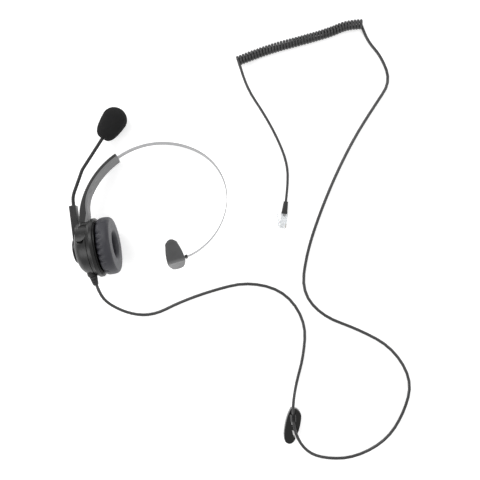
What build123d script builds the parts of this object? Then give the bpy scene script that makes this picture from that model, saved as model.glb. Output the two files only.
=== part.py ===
from build123d import *
from math import cos, sin, radians, sqrt, tan, pi
import os

# One-ear telephone headset: ear cup with cushion, folded yoke, curved slider arm, sprung steel
# head band with a temple pad, turning gooseneck microphone, and a lead with a clothing clip, a
# curly stretch and a modular plug. Millimetres. +Z is up; the headset lies on its side, as put
# down on a table: the cup stands on its rim and the band leans down beside it.

# ---------------------------------------------------------------- where the headset lies
CUP_CENTRE = (-45.3, -49.5, 28.2)      # middle of the cup's rim plane
CUP_HEADING = 9.6                      # the cup's axis (local +X, towards the ear) from +X
BAND_LEAN = 11.2                       # the arm's direction (local +Y) dips this much
YOKE_SWIVEL_REST = 4.3                 # the arm's turn about its own length
BOOM_TURN_REST = 3.75                  # the boom's turn about the cup's axis, past the arm

# ---------------------------------------------------------------- ear cup
RIM_R = 28.2                           # trim ring, the widest rigid piece
RIM_FRONT = -0.4                       # front face of the trim ring
RIM_BACK = -4.2                        # joint between trim ring and housing
RIM_WALL = 2.8
BACK_X = -20.8                         # flat back of the housing
BACK_FLAT_R = 13.5
BACK_ROUND_R = 11.0
BOWL_SLOPE = 20.0                      # the side wall opens towards the rim, degrees
SHELL = 1.8                            # moulded wall
GROOVE_X = -6.9                        # decorative groove behind the joint
GROOVE = 0.6
CORE_R = 20.8                          # housing radius under the yoke
YOKE_GAP = 1.0                         # strap to housing
RECESS_FRONT_X = -6.1
RECESS_LOW_Y = 0.5

SCREW_R = 0.9
SCREW_HEAD_R = 1.7
SCREW_HEAD_H = 1.0
BOSS_R = 2.3
BOSS_PITCH_R = 22.4
BOSS_ANGLES = (100.0, 150.0, 210.0, 260.0)   # from the arm's direction, round the cup
BOSS_FRONT = -3.0
BOSS_LENGTH = 8.0

BAFFLE_T = 1.5
BAFFLE_CLEAR = 0.2
SEAT_R = 17.4                          # bore of the speaker seat
SEAT_WALL = 1.3
SEAT_DEPTH = 3.6
SOUND_HOLE_R = 0.9
SOUND_RINGS = ((6, 4.2), (12, 8.6))
SPEAKER_R = 17.3
SPEAKER_DEPTH = 4.6
CONE_DEPTH = 1.5
CONE_T = 0.3
MAGNET_R = 9.0
MAGNET_H = 4.5
CLOTH_R = 16.5
CLOTH_T = 0.4

CUSHION_R = 27.35
CUSHION_HOLE_R = 12.25
CUSHION_T = 15.0
CUSHION_ROUND = 6.2
PAD_RING_T = 1.0
PAD_RING_R = 26.2
PAD_RING_HOLE_R = 14.6
PAD_TAB = 1.1

# ---------------------------------------------------------------- yoke and arm
PIN_X = -12.2                          # tilt axis of the cup, beside its own axis
PIN_Y = 8.0
PIN_R = 1.5
PIN_RUNNING = 0.05
PIN_INNER = 15.9                       # inner end of each tilt pin, from the middle plane
STRAP_T = 2.0
STRAP_BACK_X = -15.3
STRAP_FRONT_X = -8.0
CHEEK_BACK_X = -16.9
CHEEK_ROUND = 5.0
CHEEK_TOP_Y = 16.5
CHEEK_PROUD = 0.9                      # cheek pads stand out from the strap
PEG_X = -11.3                          # swivel axis of the arm
PEG_R = 2.5
PEG_HEAD_R = 3.6
PEG_HEAD_H = 1.6
PEG_LENGTH = 5.5

ARM_W = 15.0                           # across the band
ARM_END_DEG = 118.4                    # mouth of the arm, on the band's first arc
ARM_OUT = 2.6                          # outer face outside the band's line
ARM_IN = 2.4                           # inner face inside it
ARM_OUT_TURN_DEG = 157.0               # where the outer edge leaves the band's arc
ARM_IN_TURN_DEG = 150.0
ARM_OUT_LOW_R = 60.0
ARM_IN_LOW_R = 34.0
ARM_FOOT_GAP = 0.35                    # arm foot to yoke saddle
ARM_KNEE_Y = 33.0
ARM_FOOT_SLANT = 2.2
COVER_T = 1.9
ARM_ROUND = 1.1
ARM_SCREW_DEG = (128.0, 150.0)

# ---------------------------------------------------------------- head band
BAND_W = 6.4
BAND_T = 0.7
BAND_SLIDE_GAP = 0.15
BAND_CENTRE = (64.9, 16.4)             # centre of the arc that the band slides along
BAND_R = 79.9
TAIL_DEG = 165.0                       # hidden end of the band inside the arm
ARC_A_END = 109.8
BAND_ARCS = ((72.3, 55.3), (55.0, 74.1), (65.8, 50.5), (20.0, 12.5))   # radius and turn of each further arc
POCKET_FROM, POCKET_TO = 141.0, 168.4  # room that the end stop travels in
STOP_DEG = 1.8
STOP_W = 9.0
STOP_T = 1.9
SPRING_FROM, SPRING_TO = 124.5, 132.5
SPRING_T = 0.5

# ---------------------------------------------------------------- temple pad
TPAD_L = 48.0
TPAD_W = 17.4
TPAD_BEND = 16.3                       # each wing bends this much towards the head
TPAD_T = 2.0
TPAD_RUBBER = 2.6
TPAD_TURN_REST = 23.5                  # turn about the band's end
TPAD_SINK = 2.3                        # swivel axis under the ridge of the shell
TPAD_BARREL_R = 1.8
FERRULE_L = 2.6
FERRULE_W = 8.4
FERRULE_T = 2.8
FERRULE_HOLD = 2.0                     # length of band inside the ferrule
TPIN_R = 1.0
TPIN_L = 12.0
TPAD_GAP = 0.3

# ---------------------------------------------------------------- microphone boom
HUB_RECESS_R = 13.0
HUB_RECESS = 1.0
HUB_R = 11.6
HUB_POST_R = 4.5
HUB_GAP = 0.3
HUB_WEB = 1.45
HUB_OUT_X = -24.0                      # outer face of the boom arm
HUB_CUP_R = 7.6                        # counterbore that hides the washer and screw
WASHER_R = 7.0
WASHER_T = 0.5
HUB_SCREW_R = 1.2
HUB_SCREW_HEAD_R = 2.7
HUB_SCREW_HEAD_H = 1.0
CAP_T = 0.8
BOOM_ARM_W = 10.0
BOOM_ARM_TIP_W = 8.0
BOOM_ARM_END = 43.6
BOOM_ARM_STEP = (21.5, 26.5)           # the arm thickens between these radii
BOOM_SOCKET_X = -17.4                  # inner face of the thick part
BOOM_COVER_T = 1.4
GOOSE_X = -20.4
GOOSE_R = 1.75
GOOSE_ROOT = 30.5
GOOSE_LEAN = 3.0                       # direction where it leaves the boom arm
GOOSE_ARC_1 = (45.0, 24.0)
GOOSE_STRAIGHT = 14.0
GOOSE_ARC_2 = (35.0, 13.5)
GOOSE_TIP = 38.0
FLEX_1 = 7.0                           # lower flex point, along the first straight
FLEX_2 = 8.0                           # upper flex point, along the last straight
FLEX_GAP = 0.3
FLEX_BALL_R = GOOSE_R
MIC_R = 4.8
MIC_L = 15.0
MIC_START = 37.2                       # along the last straight
MIC_WALL = 0.9
FOAM_R = 12.5
FOAM_L = 32.2
FOAM_NECK_R = 10.4
FOAM_FOOT_ROUND = 6.5
FOAM_MOUTH = -3.4                      # mouth of the foam, from the foot of the capsule

# ---------------------------------------------------------------- lead and strain relief
LEAD_R = 1.6
TAIL_R = 1.3
RELIEF_X = -15.0
RELIEF_LEAN = 10.4                     # leans towards the ear side
RELIEF_R = 3.9
RELIEF_END_R = 2.6
RELIEF_FROM = 23.0                     # distance of its root from the cup's axis
RELIEF_L = 13.0
RELIEF_COLLAR_R = 4.9
RELIEF_BORE_R = 3.0

CURL_R = 5.3                           # outside of the curly stretch
LEAD_OVER_CLIP = ((139.4, -206.8, 9.7), (140.2, -228.8, 9.7))
LEAD_ROUTE = (
    (-37.5, -104.8, 26.0), (-20.0, -116.8, 4.0), (2.0, -117.8, 1.6), (27.5, -104.8, 1.6),
    (59.5, -93.3, 1.6), (95.5, -84.3, 1.6), (132.5, -93.8, 1.6), (153.5, -124.8, 1.6),
    (150.8, -159.8, 1.6), (143.5, -185.8, 1.6), *LEAD_OVER_CLIP, (150.0, -248.8, 8.6),
    (168.0, -260.3, 1.6), (200.0, -260.8, 1.6), (233.5, -243.3, 1.6), (251.5, -214.8, 1.6),
    (259.5, -182.8, 1.6), (239.5, -149.8, 1.6), (205.5, -131.8, 1.6), (169.5, -118.8, 1.6),
    (149.0, -93.8, 1.6), (154.0, -56.8, 1.6), (165.5, -20.8, 1.6), (181.8, 19.6, 1.6),
    (201.5, 59.2, 1.6), (222.5, 92.2, 1.6), (238.0, 115.2, 1.6), (228.5, 140.2, 1.6),
    (215.5, 154.7, 2.4), (206.5, 167.7, 4.6),
)
CURL_ROUTE = (
    (85.6, 134.7, 5.3), (113.6, 145.7, 5.3), (147.6, 154.7, 5.3), (177.6, 163.2, 5.3),
    (193.6, 170.7, 5.3), (208.6, 171.2, 5.3),
)
TAIL_ROUTE = (
    (88.2, 132.2, 4.6), (95.0, 107.7, 1.3), (110.6, 84.7, 1.3), (124.3, 60.2, 1.3), (134.8, 34.2, 1.3),
)

# ---------------------------------------------------------------- plug
PLUG_AT = (133.2, -4.6, 3.83)           # where the lead enters the boot
PLUG_HEADING = -97.5
BOOT_L = 12.5
BOOT_R = 2.2
BOOT_END_W = 7.6
BOOT_END_H = 6.0
PLUG_L = 14.2
PLUG_W = 7.65                          # 4P4C body, measured across the latch
PLUG_H = 6.6
PLUG_OVERLAP = 2.4                     # boot tongue inside the plug's mouth
LATCH_L = 11.5
LATCH_T = 0.9
LATCH_W = 3.2
LATCH_RISE = 14.0                      # degrees
CONTACT_PITCH = 1.02
CONTACT_T = 0.35
CONTACT_L = 4.2

# ---------------------------------------------------------------- clothing clip
CLIP_AT = (139.2, -227.8, 0.0)
CLIP_HEADING = 86.7                    # jaws point this way
CLIP_H = 6.6                           # height of the base lever, lying on its side
CLIP_LEVER_H = 6.2
CLIP_ROUND = 1.0
CLIP_BASE_OUTER = (
    (18.0, 2.0), (9.0, 5.5), (-2.6, 7.4), (-11.0, 7.3), (-16.0, 5.0), (-17.0, 0.8), (-13.2, -3.4),
    (-10.5, -4.0),
)
CLIP_BASE_INNER = ((-9.6, -2.2), (-4.0, -0.4), (4.0, 0.9), (18.0, 0.7))
CLIP_LEVER_OUTER = (
    (18.0, -1.6), (16.4, -5.6), (12.2, -8.3), (6.5, -8.5), (-1.2, -7.5), (-7.0, -5.8),
)
CLIP_LEVER_INNER = ((-7.0, -4.9), (-3.0, -2.6), (6.0, -0.6), (18.0, -0.3))
CLIP_PIN_AT = (-1.5, -2.6)
CLIP_PIN_R = 1.0
CLIP_KNUCKLE_R = 2.4
CLIP_EAR_T = 1.4
CLIP_GAP = 0.3
CLIP_RING_R = 3.0
CLIP_RING_L = 7.0
CLIP_PLATE_T = 0.9


def place(x, y, z):
    return Pos(x, y, z)


CUP = place(*CUP_CENTRE) * Rot(0, 0, CUP_HEADING) * Rot(-BAND_LEAN, 0, 0)
RING = CUP * Pos(PEG_X, 0, 0) * Rot(0, YOKE_SWIVEL_REST, 0) * Pos(-PEG_X, 0, 0)
BOOM = CUP * Rot(BOOM_TURN_REST, 0, 0)
PLUG = place(*PLUG_AT) * Rot(0, 0, PLUG_HEADING)
CLIP = place(*CLIP_AT) * Rot(0, 0, CLIP_HEADING)


def disc_x(radius, x0, x1):
    """Cylinder round the cup's axis from x0 to x1."""
    return Pos((x0 + x1) / 2, 0, 0) * Rot(0, 90, 0) * Cylinder(radius, abs(x1 - x0))


def ring_x(outer, inner, x0, x1):
    return disc_x(outer, x0, x1) - disc_x(inner, x0 - 1, x1 + 1)


def lathe_x(*lines):
    """Solid of revolution round the cup's axis from profile lines in the XY plane."""
    edges = [edge for line in lines for edge in line.edges()]
    return revolve(make_face(edges), Axis.X, 360)


def on_circle(angle, radius):
    """Y and Z of a point round the cup's axis; 0 degrees is the arm's direction."""
    return radius * cos(radians(angle)), radius * sin(radians(angle))


# ================================================================ ear cup
def bowl(inset):
    """The housing's outer form, moved inwards by a wall."""
    back = BACK_X + inset
    turn = 90 - BOWL_SLOPE
    start = (back, BACK_FLAT_R)
    round_edge = JernArc(start=start, tangent=(0, 1), radius=BACK_ROUND_R - inset, arc_size=-turn)
    run = (RIM_BACK - (round_edge @ 1).X)
    end = (RIM_BACK, (round_edge @ 1).Y + run * tan(radians(BOWL_SLOPE)))
    return lathe_x(
        Line((back, 0), start),
        round_edge,
        Line(round_edge @ 1, end),
        Line(end, (RIM_BACK, 0)),
        Line((RIM_BACK, 0), (back, 0)),
    )


def yoke_recess(grow, core_r):
    """Room for the yoke round the arm's side of the housing, down to a round core."""
    low = RECESS_LOW_Y - grow
    front = RECESS_FRONT_X + grow
    outline = Polyline(
        (BACK_X - 5, low), (PIN_X + 2, low), (front - 0.4, PIN_Y), (front, 2 * RIM_R),
        (BACK_X - 5, 2 * RIM_R), close=True,
    )
    prism = extrude(make_face(outline), 2 * RIM_R, both=True)
    return prism - disc_x(core_r, BACK_X - 6, 2 * RIM_R)


def boss_row(radius, x0, x1, pitch_r=BOSS_PITCH_R):
    row = []
    for angle in BOSS_ANGLES:
        y, z = on_circle(angle, pitch_r)
        row.append(Pos(0, y, z) * disc_x(radius, x0, x1))
    return row


def relief_frame():
    """Local +X runs out along the strain relief."""
    return Pos(RELIEF_X, 0, 0) * Rot(0, 0, -90 + RELIEF_LEAN)


def ear_housing():
    shell = bowl(0) - yoke_recess(0, CORE_R)
    shell -= bowl(SHELL) - yoke_recess(SHELL, CORE_R - SHELL)
    shell -= ring_x(2 * RIM_R, BACK_FLAT_R + 10.9, GROOVE_X - GROOVE, GROOVE_X) & (
        bowl(0) - bowl(GROOVE)
    )
    shell += disc_x(HUB_RECESS_R + SHELL, BACK_X + HUB_RECESS + 0.1, BACK_X + HUB_RECESS + SHELL)
    shell -= disc_x(HUB_RECESS_R, BACK_X - 1, BACK_X + HUB_RECESS)
    post_end = BACK_X + HUB_RECESS - HUB_GAP - HUB_WEB - 0.05
    shell += disc_x(HUB_POST_R, post_end, BACK_X + HUB_RECESS + 6)
    shell -= disc_x(HUB_SCREW_R, post_end - 1, BACK_X + HUB_RECESS + 4.5)
    for boss in boss_row(BOSS_R, BOSS_FRONT - BOSS_LENGTH, BOSS_FRONT):
        shell += boss
    for bore in boss_row(SCREW_R, BOSS_FRONT - BOSS_LENGTH + 1.5, BOSS_FRONT + 1):
        shell -= bore
    for side in (1, -1):
        core_z = sqrt(CORE_R**2 - PIN_Y**2)
        boss = Pos(PIN_X, PIN_Y, side * (PIN_INNER - 1 + core_z) / 2)
        boss *= Cylinder(PIN_R + SHELL, core_z - PIN_INNER + 5)
        shell += boss & disc_x(CORE_R, BACK_X, RIM_BACK)
        bore = Pos(PIN_X, PIN_Y, side * (PIN_INNER - 0.1 + CORE_R) / 2)
        shell -= bore * Cylinder(PIN_R + PIN_RUNNING, CORE_R - PIN_INNER + 0.1)
    collar_end = RELIEF_FROM + 3.4
    collar = relief_frame() * disc_x(RELIEF_COLLAR_R, RELIEF_FROM - 2.0, collar_end)
    shell += collar
    shell -= relief_frame() * disc_x(RELIEF_BORE_R, RELIEF_FROM - 6, RELIEF_FROM + 6)
    shell -= relief_frame() * disc_x(RELIEF_R, RELIEF_FROM + 1.4, RELIEF_FROM + 6)
    return shell


def trim_ring():
    ring = ring_x(RIM_R, RIM_R - RIM_WALL, RIM_BACK, RIM_FRONT)
    outer = [e for e in ring.edges().filter_by(GeomType.CIRCLE) if e.radius > RIM_R - 0.1]
    return fillet(outer, 0.8)


def baffle():
    back = BOSS_FRONT
    front = back + BAFFLE_T
    plate = disc_x(RIM_R - RIM_WALL - BAFFLE_CLEAR, back, front)
    plate += ring_x(SEAT_R + SEAT_WALL, SEAT_R, back - SEAT_DEPTH, back)
    plate -= disc_x(SOUND_HOLE_R, back - 1, front + 1)
    for count, radius in SOUND_RINGS:
        for n in range(count):
            y, z = on_circle(360 * n / count, radius)
            plate -= Pos(0, y, z) * disc_x(SOUND_HOLE_R, back - 1, front + 1)
    for hole in boss_row(SCREW_R + 0.1, back - 1, front + 1):
        plate -= hole
    return plate


def baffle_screws():
    front = BOSS_FRONT + BAFFLE_T
    screws = []
    heads = boss_row(SCREW_HEAD_R, front, front + SCREW_HEAD_H - 0.1)
    shanks = boss_row(SCREW_R - 0.02, BOSS_FRONT - BOSS_LENGTH + 2.5, front)
    for head, shank in zip(heads, shanks):
        screws.append(head + shank)
    return Compound(children=screws)


def speaker_frame():
    back = BOSS_FRONT - SPEAKER_DEPTH
    frame = ring_x(SPEAKER_R, SPEAKER_R - 2.2, BOSS_FRONT - 1.0, BOSS_FRONT)
    cone = lathe_x(
        Polyline(
            (BOSS_FRONT - 1.0, SPEAKER_R), (back, MAGNET_R + 1.5), (back, MAGNET_R - 2),
            (back + 0.9, MAGNET_R - 2), (back + 0.9, MAGNET_R + 1.0),
            (BOSS_FRONT - 1.0, SPEAKER_R - 1.6), close=True,
        )
    )
    return frame + cone


def speaker_magnet():
    back = BOSS_FRONT - SPEAKER_DEPTH
    magnet = disc_x(MAGNET_R, back - MAGNET_H, back)
    return magnet - disc_x(1.5, back - MAGNET_H - 1, back - MAGNET_H + 1.2)


def speaker_cone():
    """Thin dished cone in front of the magnet."""
    edge = BOSS_FRONT - 0.9
    half = SPEAKER_R - 2.4
    ball_r = (half**2 + CONE_DEPTH**2) / (2 * CONE_DEPTH)
    middle = edge - CONE_DEPTH + ball_r
    cup = Pos(middle, 0, 0) * (Sphere(ball_r) - Sphere(ball_r - CONE_T))
    return cup & disc_x(half, edge - CONE_DEPTH - 1, edge)


def acoustic_cloth():
    front = BOSS_FRONT + BAFFLE_T
    return disc_x(CLOTH_R, front, front + CLOTH_T)


def cushion_ring():
    front = RIM_FRONT + PAD_RING_T
    ring = ring_x(PAD_RING_R, PAD_RING_HOLE_R, RIM_FRONT, front)
    for angle in (45, 135, 225, 315):
        tab = ring_x(PAD_RING_R - 1.1, PAD_RING_R - 2.4, RIM_FRONT - PAD_TAB, RIM_FRONT)
        y, z = on_circle(angle, PAD_RING_R)
        ring += tab & (Pos(0, y, z) * Rot(angle, 0, 0) * Box(9, 8, 8))
    return ring


def ear_cushion():
    back = RIM_FRONT + PAD_RING_T
    depth = CUSHION_R - CUSHION_HOLE_R
    section = Pos(back + CUSHION_T / 2, CUSHION_HOLE_R + depth / 2) * RectangleRounded(
        CUSHION_T, depth, CUSHION_ROUND
    )
    return revolve(section, Axis.X, 360)


# ================================================================ yoke
STRAP_IN_R = CORE_R + YOKE_GAP
STRAP_OUT_R = STRAP_IN_R + STRAP_T
SADDLE_Y = STRAP_OUT_R + 0.5


def strap_shell(outer, x0, x1):
    return ring_x(outer, STRAP_IN_R, x0, x1)


def cheek_outline(top):
    """Side view of a cheek: round about the pin, its back edge straight."""
    low = PIN_Y - CHEEK_ROUND
    arc = ThreePointArc(
        (CHEEK_BACK_X, low + 1.2), (PIN_X, low), (PIN_X + CHEEK_ROUND, PIN_Y)
    )
    return make_face(Wire([
        arc,
        Line(arc @ 1, (PIN_X + CHEEK_ROUND, top)),
        Line((PIN_X + CHEEK_ROUND, top), (CHEEK_BACK_X, top)),
        Line((CHEEK_BACK_X, top), arc @ 0),
    ]))


def yoke():
    cheeks = extrude(cheek_outline(CHEEK_TOP_Y), STRAP_OUT_R + 5, both=True)
    pads = strap_shell(STRAP_OUT_R + CHEEK_PROUD, BACK_X, 0) & cheeks
    above = Pos((STRAP_BACK_X + STRAP_FRONT_X) / 2, PIN_Y + STRAP_OUT_R / 2, 0)
    strap = strap_shell(STRAP_OUT_R, STRAP_BACK_X, STRAP_FRONT_X) & (
        above * Box(STRAP_FRONT_X - STRAP_BACK_X, STRAP_OUT_R, 2 * STRAP_OUT_R + 2)
    )
    saddle = Pos((STRAP_BACK_X + STRAP_FRONT_X) / 2, SADDLE_Y - 2, 0) * Box(
        STRAP_FRONT_X - STRAP_BACK_X, 4, ARM_W - 1
    )
    saddle -= disc_x(STRAP_IN_R, BACK_X, 0)
    body = pads + strap + saddle
    for side in (1, -1):
        hole = Pos(PIN_X, PIN_Y, side * STRAP_OUT_R)
        body -= hole * Cylinder(PIN_R, 12)
    body -= Pos(PEG_X, SADDLE_Y, 0) * Rot(90, 0, 0) * Cylinder(PEG_R, 8)
    return body


def yoke_pins():
    outer = sqrt(STRAP_OUT_R**2 - PIN_Y**2) + CHEEK_PROUD - 0.4
    length = outer - PIN_INNER - 0.3
    pins = []
    for side in (1, -1):
        middle = side * (PIN_INNER + 0.3 + length / 2)
        pins.append(Pos(PIN_X, PIN_Y, middle) * Cylinder(PIN_R, length))
    return Compound(children=pins)


def swivel_peg():
    foot = STRAP_IN_R + 0.1
    top = SADDLE_Y + PEG_LENGTH
    upright = Pos(PEG_X, (foot + top) / 2, 0) * Rot(90, 0, 0)
    peg = upright * Cylinder(PEG_R, top - foot)
    head = Pos(PEG_X, top + PEG_HEAD_H / 2, 0) * Rot(90, 0, 0) * Cylinder(PEG_HEAD_R, PEG_HEAD_H)
    return peg + head


# ================================================================ slider arm
def band_point(angle, radius):
    return (
        BAND_CENTRE[0] + radius * cos(radians(angle)),
        BAND_CENTRE[1] + radius * sin(radians(angle)),
    )


ARM_FOOT_Y = SADDLE_Y + ARM_FOOT_GAP


def arm_edge(radius, turn_deg, low_radius):
    """Upper part of one long edge of the arm, from its mouth: two tangent arcs."""
    upper = CenterArc(BAND_CENTRE, radius, ARM_END_DEG, turn_deg - ARM_END_DEG)
    lower = JernArc(
        start=upper @ 1, tangent=upper % 1, radius=low_radius, arc_size=180 - turn_deg
    )
    return [upper, lower]


def arm_outer_edge():
    edges = arm_edge(BAND_R + ARM_OUT, ARM_OUT_TURN_DEG, ARM_OUT_LOW_R)
    low = edges[-1] @ 1
    return [*edges, Line(low, (low.X, ARM_FOOT_Y))]


def arm_inner_edge(inset):
    """Inner edge; its foot slants back so that the arm can swivel past the trim ring."""
    edges = arm_edge(BAND_R - ARM_IN + inset, ARM_IN_TURN_DEG, ARM_IN_LOW_R + inset)
    low = edges[-1] @ 1
    knee = (low.X, ARM_KNEE_Y)
    foot = (low.X - ARM_FOOT_SLANT, ARM_FOOT_Y)
    return [*edges, Line(low, knee), Line(knee, foot)]


def between(edges_a, edges_b):
    """Face between two edge chains that start at the mouth and end at the foot."""
    top = Line(edges_a[0] @ 0, edges_b[0] @ 0)
    foot = Line(edges_a[-1] @ 1, edges_b[-1] @ 1)
    return make_face(Wire([*edges_a, foot, *edges_b, top]))


def arc_slot(radius, thick, width, from_deg, to_deg):
    """Curved bar concentric with the band's sliding arc, across the band's width."""
    outer = CenterArc(BAND_CENTRE, radius + thick / 2, from_deg, to_deg - from_deg)
    inner = CenterArc(BAND_CENTRE, radius - thick / 2, from_deg, to_deg - from_deg)
    face = make_face(Wire([outer, Line(outer @ 1, inner @ 1), inner, Line(inner @ 0, outer @ 0)]))
    return extrude(face, width / 2, both=True)


def arm_screw_bar(radius, angle, r0, r1):
    """Cylinder across the arm's thickness at an angle of the sliding arc."""
    x, y = band_point(angle, (r0 + r1) / 2)
    return Pos(x, y, radius[1]) * Rot(0, 0, angle) * Rot(0, 90, 0) * Cylinder(radius[0], r1 - r0)


def arm_screw_places():
    offset = (BAND_W + ARM_W) / 4 + 0.45
    return [(ARM_SCREW_DEG[0], offset), (ARM_SCREW_DEG[0], -offset),
            (ARM_SCREW_DEG[1], offset), (ARM_SCREW_DEG[1], -offset)]


def peg_room():
    top = SADDLE_Y + PEG_LENGTH
    bore = Pos(PEG_X, ARM_FOOT_Y + PEG_LENGTH / 2 - 1, 0) * Rot(90, 0, 0)
    room = bore * Cylinder(PEG_R + PIN_RUNNING, PEG_LENGTH + 2)
    head = Pos(PEG_X, top + PEG_HEAD_H / 2, 0) * Rot(90, 0, 0)
    return room + head * Cylinder(PEG_HEAD_R + 0.15, PEG_HEAD_H + 0.3)


def stop_pocket():
    return arc_slot(BAND_R, STOP_T + 0.3, STOP_W + 0.4, POCKET_FROM, POCKET_TO)


def arm_shell():
    body = extrude(between(arm_outer_edge(), arm_inner_edge(COVER_T)), ARM_W / 2, both=True)
    long_edges = body.edges().filter_by(lambda e: abs(abs(e.center().Z) - ARM_W / 2) < 0.01)
    outer = [e for e in long_edges if is_outer(e)]
    body = fillet(outer, ARM_ROUND)
    gap = BAND_T + 2 * BAND_SLIDE_GAP
    body -= arc_slot(BAND_R, gap, BAND_W + 0.4, ARM_END_DEG - 4, POCKET_TO)
    body -= stop_pocket()
    spring_r = BAND_R + BAND_T / 2 + SPRING_T + 0.1
    body -= arc_slot(spring_r, 2 * SPRING_T, BAND_W, SPRING_FROM - 0.3, SPRING_TO + 0.3)
    body -= peg_room()
    for angle, z in arm_screw_places():
        body -= arm_screw_bar((SCREW_R, z), angle, BAND_R - 1, BAND_R + ARM_OUT - 0.8)
    return body


def is_outer(edge):
    """True for the arm's long edges on the side away from the head."""
    middle = edge @ 0.5
    reach = sqrt((middle.X - BAND_CENTRE[0]) ** 2 + (middle.Y - BAND_CENTRE[1]) ** 2)
    return reach > BAND_R + ARM_OUT - 0.3 or middle.X < PEG_X - 3.5


def arm_cover():
    body = extrude(between(arm_inner_edge(COVER_T), arm_inner_edge(0)), ARM_W / 2, both=True)
    body -= peg_room()
    body -= stop_pocket()
    for angle, z in arm_screw_places():
        body -= arm_screw_bar((SCREW_R + 0.1, z), angle, BAND_R - 6, BAND_R)
        head_top = BAND_R - ARM_IN + SCREW_HEAD_H
        body -= arm_screw_bar((SCREW_HEAD_R + 0.1, z), angle, BAND_R - 8, head_top)
    return body


def arm_screws():
    screws = []
    for angle, z in arm_screw_places():
        head_top = BAND_R - ARM_IN + SCREW_HEAD_H
        head = arm_screw_bar((SCREW_HEAD_R, z), angle, BAND_R - ARM_IN + 0.1, head_top)
        shank = arm_screw_bar((SCREW_R - 0.02, z), angle, head_top, BAND_R + ARM_OUT - 1.2)
        screws.append(head + shank)
    return Compound(children=screws)


def detent_spring():
    """Small sprung leaf that presses on the band and holds the set length."""
    leaf_r = BAND_R + BAND_T / 2 + SPRING_T + 0.15
    return arc_slot(leaf_r, SPRING_T, BAND_W - 1.0, SPRING_FROM, SPRING_TO)


# ================================================================ head band
def band_edges():
    edges = [CenterArc(BAND_CENTRE, BAND_R, TAIL_DEG, ARC_A_END - TAIL_DEG)]
    for radius, turn in BAND_ARCS:
        last = edges[-1]
        edges.append(JernArc(start=last @ 1, tangent=last % 1, radius=radius, arc_size=-turn))
    last = edges[-1]
    edges.append(Line(last @ 1, (last @ 1) + (last % 1) * FERRULE_HOLD))
    return edges


def head_band():
    path = Wire(band_edges())
    start = Plane(origin=path @ 0, x_dir=(0, 0, 1), z_dir=path % 0)
    strip = sweep(start * Rectangle(BAND_W, BAND_T), path=path)
    return strip


def band_stop():
    """Riveted block on the band's hidden end; it keeps the band from pulling out."""
    stop = arc_slot(BAND_R, STOP_T, STOP_W, TAIL_DEG - STOP_DEG / 2, TAIL_DEG + STOP_DEG / 2)
    return stop - arc_slot(BAND_R, BAND_T, BAND_W, TAIL_DEG - STOP_DEG, TAIL_DEG)


def band_end():
    """Local frame at the middle of the temple pad: +X along the band, +Y away from the head."""
    line = band_edges()[-1]
    along = line % 0.5
    middle = (line @ 0) + along * (FERRULE_L + TPAD_GAP + TPAD_W / 2)
    return Location(Plane(origin=middle, x_dir=along, z_dir=(0, 0, 1)))


def band_ferrule():
    """Moulded end of the band with the round pin that the temple pad turns on."""
    near = -TPAD_W / 2 - TPAD_GAP
    block = Pos(near - FERRULE_L / 2, 0, 0) * Box(FERRULE_L, FERRULE_T, FERRULE_W)
    block = fillet(block.edges().filter_by(Axis.X), 0.9)
    slot = Pos(near - FERRULE_L + FERRULE_HOLD / 2, 0, 0) * Box(FERRULE_HOLD, BAND_T, BAND_W)
    pin = disc_x(TPIN_R, near, near + TPIN_L)
    return block - slot + pin


# ================================================================ temple pad
def tpad_outline():
    """Plan of the pad: a long rounded plate, narrower towards its ends."""
    half_l = TPAD_L / 2
    half_w = TPAD_W / 2
    end_r = half_w * 0.72
    side = ThreePointArc((-end_r, half_l - end_r), (-half_w, 0), (-end_r, -half_l + end_r))
    other = ThreePointArc((end_r, -half_l + end_r), (half_w, 0), (end_r, half_l - end_r))
    low = ThreePointArc(side @ 1, (0, -half_l), other @ 0)
    top = ThreePointArc(other @ 1, (0, half_l), side @ 0)
    return make_face(Wire([side, low, other, top]))


def tpad_layer(out_y, thick, inset):
    """A layer of the bent plate; out_y is its outer face at the ridge, away from the head."""
    slope = tan(radians(TPAD_BEND))
    half = TPAD_L / 2 + 2
    drop = half * slope
    blend = 4.0
    section = make_face(Wire([
        ThreePointArc((out_y - blend * slope, blend), (out_y - 0.45 * blend * slope, 0),
                      (out_y - blend * slope, -blend)),
        Line((out_y - blend * slope, -blend), (out_y - drop, -half)),
        Line((out_y - drop, -half), (out_y - drop - thick, -half)),
        Line((out_y - drop - thick, -half), (out_y - thick - blend * slope, -blend)),
        ThreePointArc((out_y - thick - blend * slope, -blend),
                      (out_y - thick - 0.45 * blend * slope, 0),
                      (out_y - thick - blend * slope, blend)),
        Line((out_y - thick - blend * slope, blend), (out_y - drop - thick, half)),
        Line((out_y - drop - thick, half), (out_y - drop, half)),
        Line((out_y - drop, half), (out_y - blend * slope, blend)),
    ]))
    plate = extrude(Plane.YZ * section, TPAD_W, both=True)
    plan = tpad_outline()
    if inset:
        plan = offset(plan, -inset)
    cutter = extrude(Plane.XZ * plan, 40, both=True)
    return plate & cutter


def tpad_shell():
    near = -TPAD_W / 2
    shell = tpad_layer(TPAD_SINK, TPAD_T, 0)
    shell += disc_x(TPAD_BARREL_R, near + 0.5, near + TPIN_L + 1.5)
    return shell - disc_x(TPIN_R + PIN_RUNNING, near - 1, near + TPIN_L)


def tpad_cushion():
    pad = tpad_layer(TPAD_SINK - TPAD_T, TPAD_RUBBER, 0.5)
    return pad - disc_x(TPAD_BARREL_R, -TPAD_W, TPAD_W)


# ================================================================ boom
def boom_hub_front():
    return BACK_X + HUB_RECESS - HUB_GAP


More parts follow.
